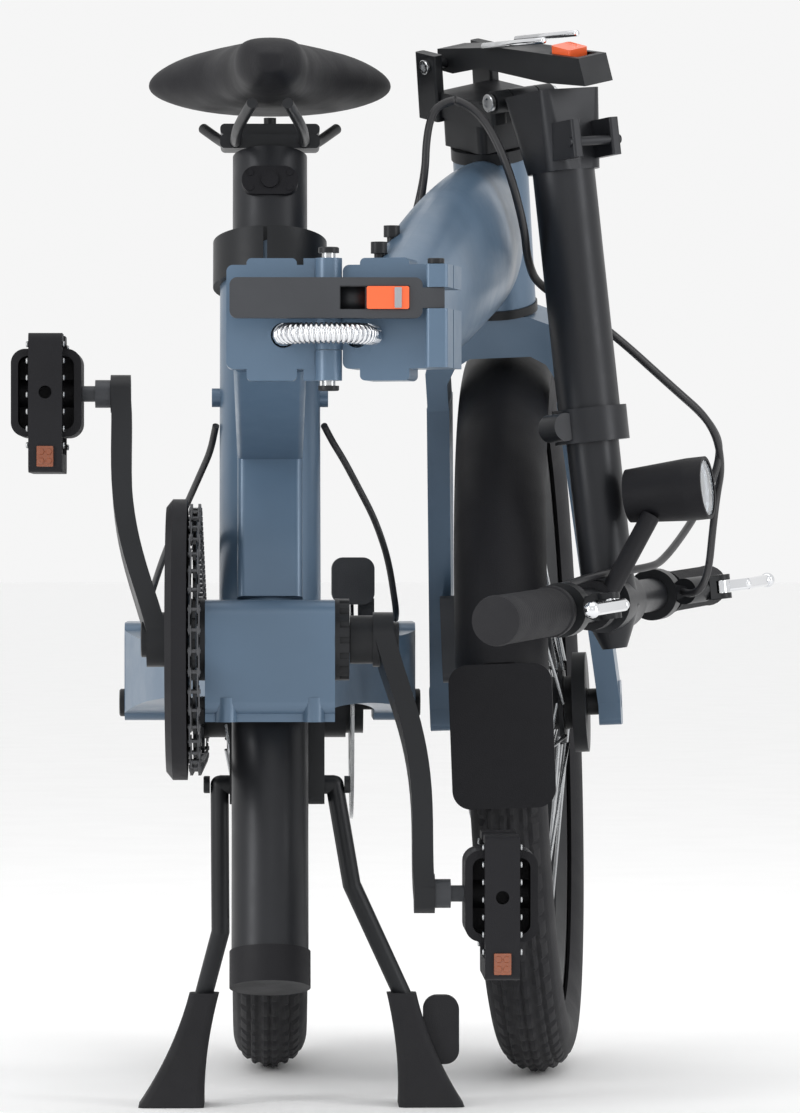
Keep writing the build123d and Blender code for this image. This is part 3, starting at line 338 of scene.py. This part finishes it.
# ---------------------------------------------------------------- wheels
WHEEL_R = 0.25
TYRE_HALF = 0.025
BEAD_R = 0.2070
WALL = 0.0034
GROOVE_DEPTH = 0.0019
WALL_LINE_DEPTH = 0.0006
SHOULDER_DEPTH = 0.0008
BLOCKS = 84
SPOKES = 28
NIPPLE_FOOT_R = 0.1752
VALVE_FOOT_R = 0.150


def tyre_profile():
    """Points round the tyre's outside, from one bead over the tread to the other, then back inside."""
    middle = WHEEL_R - TYRE_HALF
    lean = math.asin((middle - BEAD_R) / TYRE_HALF)
    start, end = -lean, math.pi + lean
    steps = 56
    outer = []
    for n in range(steps + 1):
        turn = start + (end - start) * n / steps
        outer.append((turn, TYRE_HALF))
    inner = [(turn, TYRE_HALF - WALL) for turn, _ in reversed(outer[::4])]
    return middle, outer, inner


def tread_depth(turn, around):
    """How far the surface is cut in: grooves between the tread blocks, and lines on the wall."""
    across = math.degrees(turn) - 90
    share = around * BLOCKS % 1.0
    depth = 0.0
    if abs(across) < 50:
        for groove, width in ((0, 2.6), (17, 2.6), (-17, 2.6), (34, 3.0), (-34, 3.0)):
            if abs(across - groove) < width:
                depth = GROOVE_DEPTH
        lean = 0.35 * across / 50
        stagger = 0.5 if 17 < abs(across) < 34 else 0.0
        if (share + lean * (1 if across > 0 else -1) + stagger) % 1.0 < 0.2:
            depth = GROOVE_DEPTH
    elif abs(across) < 56:
        depth = SHOULDER_DEPTH
    elif 84 < abs(across) < 87 or 112 < abs(across) < 115:
        depth = WALL_LINE_DEPTH
    return depth


def make_tyre(name, node, joint, body):
    middle, outer, inner = tyre_profile()
    bm = bmesh.new()
    around_steps = 420
    matrix = turn_to(joint_axis(joint), joint_pos(joint))
    rings = []
    for n in range(around_steps):
        around = n / around_steps
        angle = 2 * math.pi * around
        ring = []
        for turn, size in outer:
            reach = size - tread_depth(turn, around)
            radius = middle + reach * math.sin(turn)
            ring.append(bm.verts.new(matrix @ Vector((radius * math.cos(angle), radius * math.sin(angle),
                                                     reach * math.cos(turn)))))
        for turn, size in inner:
            radius = middle + size * math.sin(turn)
            ring.append(bm.verts.new(matrix @ Vector((radius * math.cos(angle), radius * math.sin(angle),
                                                     size * math.cos(turn)))))
        rings.append(ring)
    for n in range(around_steps):
        bridge(bm, rings[n], rings[(n + 1) % around_steps])
    bmesh.ops.recalc_face_normals(bm, faces=bm.faces)
    made = new_piece(name, bm, TYRE)
    edge_smooth(made, 28)
    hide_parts(node)
    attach(made, body)


def make_nipples(name, joint, body):
    """A nipple where each spoke meets the rim, and the valve between two of them."""
    bm = bmesh.new()
    turn_axis = joint_axis(joint)
    up = Vector((0, 0, 1))
    up = (up - turn_axis * up.dot(turn_axis)).normalized()
    for n in range(SPOKES):
        out = Quaternion(turn_axis, 2 * math.pi * n / SPOKES) @ up
        add_cylinder(bm, joint_pos(joint) + out * NIPPLE_FOOT_R, out, 0.0021, 0.0125, 10, 0.0004)
    out = Quaternion(turn_axis, 2 * math.pi * 3.5 / SPOKES) @ up
    add_cylinder(bm, joint_pos(joint) + out * VALVE_FOOT_R, out, 0.0030, 0.0375, 14, 0.0008)
    made = new_piece(name, bm, STEEL)
    edge_smooth(made)
    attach(made, body)


# ---------------------------------------------------------------- drive
CHAIN_PITCH = 0.0127
RING_R = 0.0805
SPROCKET_R = 0.0365
RING_X = -46.0
PLATE_R = 0.0038
PLATE_THICK = 0.0008
PIN_R = 0.0014
PIN_LENGTH = 0.0080
WAIST = 0.72


def chain_loop():
    """The chain's centre line as a function of distance, and its whole length."""
    front = at(RING_X, 0, 299.5)
    rear = at(RING_X, 380, 250)
    run = rear - front
    slope = math.atan2(run.z, run.y)
    lift = math.asin((RING_R - SPROCKET_R) / run.length)
    straight = math.sqrt(run.length ** 2 - (RING_R - SPROCKET_R) ** 2)
    top = slope + math.pi / 2 - lift
    foot = slope - math.pi / 2 + lift
    ring_arc = RING_R * (2 * math.pi - (top - foot))
    rear_arc = SPROCKET_R * (top - foot)
    total = 2 * straight + ring_arc + rear_arc

    def spot(distance):
        distance %= total
        if distance < ring_arc:
            angle = top + distance / RING_R
            return front + Vector((0, math.cos(angle), math.sin(angle))) * RING_R
        distance -= ring_arc
        edge = Vector((0, math.cos(foot), math.sin(foot)))
        if distance < straight:
            start = front + edge * RING_R
            end = rear + edge * SPROCKET_R
            return start.lerp(end, distance / straight)
        distance -= straight
        if distance < rear_arc:
            angle = foot + distance / SPROCKET_R
            return rear + Vector((0, math.cos(angle), math.sin(angle))) * SPROCKET_R
        distance -= rear_arc
        edge = Vector((0, math.cos(top), math.sin(top)))
        return (rear + edge * SPROCKET_R).lerp(front + edge * RING_R, distance / straight)

    return spot, total


def add_plate(bm, start, end, x_shift, radius, thick):
    """A waisted side plate between two chain pins."""
    along = (end - start).normalized()
    across = Vector((1, 0, 0)).cross(along)
    length = (end - start).length
    outline = []
    for base, sign in ((length, 1), (0.0, -1)):
        for n in range(7):
            turn = -math.pi / 2 + math.pi * n / 6
            forward = base + sign * radius * math.cos(turn)
            outline.append(start + along * forward + across * sign * radius * math.sin(turn))
        outline.append(start + along * (length / 2) + across * sign * radius * WAIST)
    shift = Vector((x_shift, 0, 0))
    thickness = Vector((thick, 0, 0))
    low = [bm.verts.new(point + shift) for point in outline]
    high = [bm.verts.new(point + shift + thickness) for point in outline]
    bm.faces.new(list(reversed(low)))
    bm.faces.new(high)
    bridge(bm, low, high)


def make_chain():
    """Every link of the chain: inner and outer plates in turn, and a pin where each link starts."""
    spot, total = chain_loop()
    count = 2 * round(total / CHAIN_PITCH / 2)
    bm = bmesh.new()
    for n in range(count):
        start = spot(total * n / count)
        end = spot(total * (n + 1) / count)
        inner = n % 2
        offset = 0.0021 if inner else 0.0030
        for side in (-1, 1):
            add_plate(bm, start, end, side * offset - PLATE_THICK / 2, PLATE_R, PLATE_THICK)
        add_cylinder(bm, start - Vector((PIN_LENGTH / 2, 0, 0)), (1, 0, 0), PIN_R, PIN_LENGTH, 10)
    bmesh.ops.recalc_face_normals(bm, faces=bm.faces)
    made = new_piece("chain_links", bm, DARK_STEEL)
    edge_smooth(made)
    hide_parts("chain")
    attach(made, "rear_frame")


# ---------------------------------------------------------------- saddle
def through(stations, y):
    """The value at y on a smooth curve that passes through the given stations."""
    last = len(stations) - 2
    n = min(last, sum(1 for spot, _ in stations[1:-1] if y > spot))
    slopes = []
    for k in (n, n + 1):
        before, after = stations[max(0, k - 1)], stations[min(last + 1, k + 1)]
        slopes.append((after[1] - before[1]) / (after[0] - before[0]))
    (a, low), (b, high) = stations[n], stations[n + 1]
    t = (y - a) / (b - a)
    rise = low * (2 * t ** 3 - 3 * t ** 2 + 1) + high * (3 * t ** 2 - 2 * t ** 3)
    return rise + (b - a) * (slopes[0] * (t ** 3 - 2 * t ** 2 + t) + slopes[1] * (t ** 3 - t ** 2))


def saddle_half_width(y):
    """Half the saddle's width at a distance behind its nose, in millimetres."""
    return through([(-6, 12), (26, 25.5), (90, 32), (142, 47), (186, 73), (222, 87.5), (264, 70)], y)


def saddle_top(y):
    """The height of the saddle's top at a distance behind its nose, in millimetres."""
    return through([(-6, 671), (26, 676), (90, 680), (142, 685), (186, 688), (222, 688.5), (264, 680)], y)


def blunt(value):
    """Squares off a sine or cosine, for sections with full shoulders."""
    return math.copysign(abs(value) ** 0.62, value)


def make_saddle():
    """The padded cover, puffed by a short cloth simulation."""
    bm = bmesh.new()
    rows, columns = 46, 28
    loops = []
    for n in range(rows + 1):
        y = -5 + 268 * n / rows
        half = saddle_half_width(y) - 3.5
        end = min(1.0, (y + 6) / 26) ** 0.5 * min(1.0, max(0.02, (265 - y) / 22)) ** 0.5
        loop = []
        wing = min(1.0, max(0.0, (y - 110) / 80))
        for k in range(columns):
            turn = 2 * math.pi * k / columns
            across = blunt(math.cos(turn))
            top = saddle_top(y) - 2.0 - 15.0 * wing * abs(across) ** 2.6
            base = 641.0 + (3.0 + 7.0 * wing) * across ** 2
            tall = (top - base) / 2 * end
            x = half * across * (0.55 + 0.45 * end)
            loop.append(bm.verts.new(at(x, y, (top + base) / 2 + tall * blunt(math.sin(turn)))))
        loops.append(loop)
    for low, high in zip(loops, loops[1:]):
        bridge(bm, low, high)
    bm.faces.new(loops[0])
    bm.faces.new(list(reversed(loops[-1])))
    bmesh.ops.recalc_face_normals(bm, faces=bm.faces)
    pad = new_piece("saddle_cover", bm, COVER)
    puff(pad, 0.0018)
    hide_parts("saddle_pad", "saddle_shell")
    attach(pad, "seatpost")


def puff(made, most):
    """Swells a padded piece as filled cloth does, never by more than the given distance."""
    start = [vert.co.copy() for vert in made.data.vertices]
    cloth = made.modifiers.new("cloth", "CLOTH")
    cloth.settings.use_pressure = True
    cloth.settings.uniform_pressure_force = 4
    cloth.settings.effector_weights.gravity = 0
    scene = bpy.context.scene
    for step in range(1, 21):
        scene.frame_set(step)
    apply_modifiers(made)
    scene.frame_set(1)
    for vert, home in zip(made.data.vertices, start):
        move = vert.co - home
        if move.length > most:
            vert.co = home + move.normalized() * most
    for _ in range(6):
        relax(made)
    modifier = made.modifiers.new("smooth", "SUBSURF")
    modifier.levels = 1
    apply_modifiers(made)
    made.data.materials.clear()
    made.data.materials.append(COVER)
    for face in made.data.polygons:
        face.use_smooth = True


def apply_modifiers(made):
    graph = bpy.context.evaluated_depsgraph_get()
    mesh = bpy.data.meshes.new_from_object(made.evaluated_get(graph))
    made.modifiers.clear()
    made.data = mesh


def relax(made):
    bm = bmesh.new()
    bm.from_mesh(made.data)
    bmesh.ops.smooth_vert(bm, verts=bm.verts, factor=0.5, use_axis_x=True, use_axis_y=True, use_axis_z=True)
    bm.to_mesh(made.data)
    bm.free()


# ---------------------------------------------------------------- cables
HINGE_Z = 494.0
COIL_TURNS = 44
COIL_R = 0.0054
WIRE_R = 0.0013
CABLE_R = 0.0025


def make_conduit():
    """The wound steel conduit over the frame hinge."""
    z = HINGE_Z - 11
    route = [at(8, -114, z), at(8, -140, z), at(9, -160, z), at(31, -166, z), at(54, -161, z),
             at(60.2, -141, z), at(64.3, -123, z)]
    centre = smooth_line(route, 3)
    lengths = [0.0]
    for a, b in zip(centre, centre[1:]):
        lengths.append(lengths[-1] + (b - a).length)
    total = lengths[-1]
    places = frames_along(centre)
    steps = 12
    coil = []
    for n in range(COIL_TURNS * steps + 1):
        goal = total * n / (COIL_TURNS * steps)
        k = next((i for i in range(1, len(lengths)) if lengths[i] >= goal), len(lengths) - 1)
        share = (goal - lengths[k - 1]) / max(1e-9, lengths[k] - lengths[k - 1])
        point = places[k - 1][0].lerp(places[k][0], share)
        tangent = places[k - 1][1].lerp(places[k][1], share).normalized()
        side = places[k - 1][2].lerp(places[k][2], share)
        side = (side - tangent * side.dot(tangent)).normalized()
        angle = 2 * math.pi * n / steps
        out = side * math.cos(angle) + tangent.cross(side) * math.sin(angle)
        coil.append(point + out * COIL_R)
    bm = bmesh.new()
    add_tube(bm, coil, WIRE_R, 8)
    add_tube(bm, centre, 0.0050, 16)
    made = new_piece("conduit_coil", bm, CHROME)
    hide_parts("conduit_spring")
    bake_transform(made)


def make_cables():
    """The two cables from the frame to the handlebar, in the three runs that the joints part them into."""
    runs = {"steering": [], "post": [], "bar": []}
    for n in range(2):
        shift = 6.5 * n
        runs["steering"].append([(92.5 - shift / 2, 104 + shift, 556), (99, 104 + shift, 590),
                                 (100, 100 + shift, 622), (106, 97 + shift, 640), (118, 96 + shift, 642)])
        runs["post"].append([(118, 96 + shift, 642), (132, 95 + shift, 638), (150, 92 + shift, 606),
                             (162, 90 + shift, 562), (165, 114 + shift, 541), (174, 141 + shift, 524),
                             (199.6, 150 + shift, 512)])
        runs["bar"].append([(199.6, 150 + shift, 512), (221.6, 158 + shift, 497), (261.6, 174 + shift, 462.3),
                            (289.6, 190.7 + shift, 439.3), (298.6, 210.7, 412.3 + shift)] + bar_tail(n))
    spans = (("steering", "front_frame", "fork"), ("post", "fork", "handlepost"),
             ("bar", "handlepost", "bar"))
    for name, first, second in spans:
        bm = bmesh.new()
        for route in runs[name]:
            add_tube(bm, smooth_line([at(*point) for point in route]), CABLE_R, 12)
        made = new_piece(name + "_cable_run", bm, HOSE)
        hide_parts(name + "_cables")
        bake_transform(made)


def bar_frame():
    """The handlebar's centre, its direction towards the left lever, and the two directions across it."""
    left, right = joint_pos("brake_lever_left"), joint_pos("brake_lever_right")
    along = (left - right).normalized()
    up = joint_axis("brake_lever_right")
    ahead = along.cross(up) * -1
    if ahead.dot(Vector((1, 0, 0))) < 0:
        ahead = -ahead
    centre = (left + right) / 2 - ahead * 0.038
    return centre, along, ahead, up


def bar_spot(x, ahead_mm=0.0, up_mm=0.0):
    centre, along, ahead, up = bar_frame()
    return centre + along * x * MM + ahead * ahead_mm * MM + up * up_mm * MM


def bar_tail(n):
    """The end of one cable's route, back in the CAD source's own millimetres."""
    if n:
        fixed = [(283.6, 204.7, 382.3)]
        free = [(-30, 31, -22), (0, 26, -19), (46, 3, -18.8), (109, 0, -14.4)]
    else:
        fixed = [(295.6, 236.7, 386.3)]
        free = [(-86, 42, 8), (-108.5, 22, 0)]
    return fixed + [tuple((bar_spot(*spot) + FLOOR_CENTRE) / MM) for spot in free]


# ---------------------------------------------------------------- fittings
def make_grips():
    """Ribbed rubber grips with a flange at their inner end."""
    for side, radius, name in ((-1, 14.5, "right"), (1, 16.0, "left")):
        bm = bmesh.new()
        _, _, ahead, up = bar_frame()
        inner, outer = 144.0, 272.0
        steps = 128
        sides = 28
        loops = []
        for n in range(steps + 1):
            x = inner + (outer - inner) * n / steps
            share = n / steps
            size = radius - 1.3
            if share < 0.05:
                size = radius
            elif share > 0.975:
                size = radius - 0.6 - 26 * (share - 0.975)
            elif n % 4 < 2:
                size = radius - 1.0
            spots = ring_points(bar_spot(side * x), ahead, up, size * MM, sides)
            loops.append([bm.verts.new(spot) for spot in spots])
        for low, high in zip(loops, loops[1:]):
            bridge(bm, low, high)
        bm.faces.new(loops[0])
        bm.faces.new(loops[-1])
        bmesh.ops.recalc_face_normals(bm, faces=bm.faces)
        made = new_piece("grip_" + name, bm, RUBBER)
        edge_smooth(made, 40)
        if side < 0:
            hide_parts("grips")
        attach(made, "bar")


def make_pedal_trim():
    """Amber reflectors and grip studs on both pedal platforms."""
    for name in ("right", "left"):
        centre = joint_pos("pedal_spin_" + name)
        body = "platform_" + name
        bm = bmesh.new()
        for face in (-1, 1):
            for n in range(7):
                for row in (-1, 1):
                    spot = centre + Vector((face * 0.0105, row * 0.0368, -0.033 + 0.0105 * n))
                    add_cylinder(bm, spot, (face, 0, 0), 0.0019, 0.0016, 10, 0.0004)
        studs = new_piece("pedal_studs_" + name, bm, STEEL)
        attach(studs, body)
        for face in (-1, 1):
            bm = bmesh.new()
            place = Matrix.Translation(centre + Vector((0, face * 0.0424, -0.040)))
            add_box(bm, place, (0.0105, 0.0022, 0.013), 0.0006)
            for n in range(2):
                for k in range(2):
                    base = centre + Vector((-0.0024 + 0.0048 * k, face * 0.0433, -0.0429 + 0.0058 * n))
                    add_cylinder(bm, base, (0, face, 0), 0.0022, 0.0007, 6, 0.0004)
            end = "_back" if face > 0 else "_front"
            made = new_piece("pedal_reflector_" + name + end, bm, AMBER, False)
            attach(made, body)


def make_bolts():
    """Cap screws, pin heads and caps, by the body that carries them."""
    pivot = joint_pos("frame_latch")
    post_pin, post_axis = joint_pos("post_fold"), joint_axis("post_fold")
    latch_pin, latch_axis = joint_pos("stem_latch"), joint_axis("stem_latch")
    hinge = joint_pos("frame_fold")
    heads = {
        "rear_frame": [
            (hinge + Vector((0, 0, 0.0381)), (0, 0, 1), 0.0062, 0.0035),
            (hinge - Vector((0, 0, 0.0411)), (0, 0, -1), 0.0062, 0.0030),
            (at(98, 380, 250), (1, 0, 0), 0.0095, 0.0055),
            (at(-98, 380, 250), (-1, 0, 0), 0.0095, 0.0055),
            (at(50, 362.4, 326), (0, 1, 0), 0.0035, 0.0025),
            (at(62, 362.4, 342), (0, 1, 0), 0.0035, 0.0025),
        ],
        "front_frame": [(pivot + Vector((0, 0, 0.0205)), (0, 0, 1), 0.0050, 0.0030)],
        "kickstand": [
            (at(47.2, 85, 206), (1, 0, 0), 0.0055, 0.0040),
            (at(-38.2, 85, 206), (-1, 0, 0), 0.0055, 0.0040),
        ],
        "fork": [
            (post_pin + post_axis * 0.0242, post_axis, 0.0058, 0.0028),
            (post_pin - post_axis * 0.0242, -post_axis, 0.0058, 0.0028),
            (latch_pin + latch_axis * 0.0262, latch_axis, 0.0048, 0.0025),
            (latch_pin - latch_axis * 0.0262, -latch_axis, 0.0048, 0.0025),
        ],
        "crankset": [
            (at(-76.4, 0, 299.5), (-1, 0, 0), 0.0110, 0.0035),
            (at(76.4, 0, 299.5), (1, 0, 0), 0.0110, 0.0035),
        ],
    }
    for n in range(5):
        turn = math.radians(72 * n - 21.2)
        spot = at(-52.8, -51 * math.sin(turn), 299.5 + 51 * math.cos(turn))
        heads["crankset"].append((spot, (-1, 0, 0), 0.0045, 0.0022))
    for body, bolts in heads.items():
        bm = bmesh.new()
        for tip, axis, radius, height in bolts:
            socket_bolt(bm, tip, axis, radius, height)
        made = new_piece(body + "_bolts", bm, BLACK if body != "fork" else STEEL)
        edge_smooth(made)
        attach(made, body)


def make_latch_trim():
    """The dark window and the grey band on the frame latch's outer face."""
    face_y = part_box("frame_latch_lever")[0].y
    lock_low, lock_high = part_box("frame_latch_lock")
    middle_z = HINGE_Z * MM + 0.010
    bm = bmesh.new()
    window = Matrix.Translation(Vector((lock_low.x - 0.0082, face_y + 0.0039, middle_z)))
    add_box(bm, window, (0.0145, 0.0002, 0.0130))
    made = new_piece("latch_window", bm, BLACK)
    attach(made, "frame_latch")
    bm = bmesh.new()
    band = Matrix.Translation(Vector((lock_high.x - 0.0065, lock_low.y - 0.0003, middle_z)))
    add_box(bm, band, (0.0042, 0.0012, 0.0122), 0.0003)
    made = new_piece("latch_band", bm, BAND)
    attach(made, "frame_lock")


def make_lamp():
    """The lamp's mirror, behind the clear lens."""
    low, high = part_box("headlight_lens")
    centre = (low + high) / 2
    _, along, ahead, up = bar_frame()
    bm = bmesh.new()
    sides = 36
    loops = []
    for n in range(8):
        share = n / 7
        depth = -0.0034 - 0.0012 * (1 - share ** 2)
        size = 0.003 + 0.0145 * share
        spots = ring_points(centre + ahead * depth, along, up, size, sides)
        loops.append([bm.verts.new(spot) for spot in spots])
    for a, b in zip(loops, loops[1:]):
        bridge(bm, a, b)
    bm.faces.new(loops[0])
    made = new_piece("lamp_mirror", bm, CHROME)
    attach(made, "bar")


def make_links():
    """The two bright rods from the stem latch over to the handlepost's cross pin."""
    pivot, axis = joint_pos("stem_latch"), joint_axis("stem_latch")
    lock_low, lock_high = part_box("stem_latch_lock")
    tip = (lock_low + lock_high) / 2
    reach = (tip - pivot).normalized()
    down = axis.cross(reach).normalized()
    if down.z > 0:
        down = -down
    bm = bmesh.new()
    for side in (-1, 1):
        start = pivot + reach * 0.050 + axis * side * 0.0132 + down * -0.010
        end = pivot + reach * 0.118 + axis * side * 0.0132 + down * -0.012
        add_cylinder(bm, start, end - start, 0.0021, (end - start).length, 14, 0.0006)
    made = new_piece("latch_rods", bm, CHROME)
    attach(made, "stem_latch")


# ---------------------------------------------------------------- stage
def make_stage():
    """A flat pale floor that runs out of sight, with nothing standing on it, so every side can be seen."""
    floor_look = material("pale_floor", (0.97, 0.97, 0.97), 0.8, 0.0, None, 0.01, 0.0, 0.1, 0.1)
    bm = bmesh.new()
    reach, sides, drop = 60, 48, -0.0002
    turns = [math.tau * n / sides for n in range(sides)]
    rim = [bm.verts.new((reach * math.cos(turn), reach * math.sin(turn), drop)) for turn in turns]
    bm.faces.new(rim)
    mesh = bpy.data.meshes.new("studio_floor")
    bm.to_mesh(mesh)
    bm.free()
    mesh.materials.append(floor_look)
    floor = bpy.data.objects.new("studio_floor", mesh)
    COLLECTION.objects.link(floor)


def area_light(name, place, target, size, power, height=None):
    data = bpy.data.lights.new(name, "AREA")
    data.shape = "RECTANGLE"
    data.size = size
    data.size_y = height or size
    data.energy = power
    made = bpy.data.objects.new(name, data)
    COLLECTION.objects.link(made)
    made.location = place
    made.rotation_euler = (Vector(target) - Vector(place)).to_track_quat("-Z", "Y").to_euler()


def make_lights():
    world = bpy.data.worlds.new("studio")
    world.use_nodes = True
    background = world.node_tree.nodes["Background"]
    background.inputs["Color"].default_value = (1, 1, 1, 1)
    background.inputs["Strength"].default_value = 0.92
    bpy.context.scene.world = world
    area_light("left_strip", (-2.3, -1.6, 1.0), (0, 0, 0.35), 0.7, 30, 2.2)
    area_light("right_strip", (2.4, -1.5, 1.0), (0, 0, 0.35), 0.7, 24, 2.2)
    area_light("overhead", (0.0, -0.4, 2.6), (0, 0, 0.3), 2.4, 14, 2.0)
    area_light("front_fill", (0.2, -3.9, 1.7), (0, 0, 0.4), 1.6, 4)


def make_camera():
    """The camera stands level with the bottom bracket, ahead of the rear half and looking along it."""
    focal = 5500.0
    long_side = 1113.0
    data = bpy.data.cameras.new("camera")
    data.sensor_width = 36.0
    data.lens = focal * data.sensor_width / long_side
    data.clip_end = 60
    made = bpy.data.objects.new("camera", data)
    COLLECTION.objects.link(made)
    made.location = at(0, -3410, 355)
    yaw = math.atan2(130.0, focal)
    pitch = math.atan2(6.5, focal)
    made.rotation_euler = (math.pi / 2 - pitch, 0, -yaw)
    bpy.context.scene.camera = made
    bpy.context.scene.view_settings.view_transform = "Standard"


make_camera()
dress_cad()
make_tyre("rear_tread", "rear_tyre", "rear_wheel_spin", "rear_wheel")
make_tyre("front_tread", "front_tyre", "front_wheel_spin", "front_wheel")
make_nipples("rear_nipples", "rear_wheel_spin", "rear_wheel")
make_nipples("front_nipples", "front_wheel_spin", "front_wheel")
make_chain()
make_saddle()
make_conduit()
make_cables()
make_grips()
make_pedal_trim()
make_bolts()
make_latch_trim()
make_lamp()
make_links()
make_stage()
make_lights()
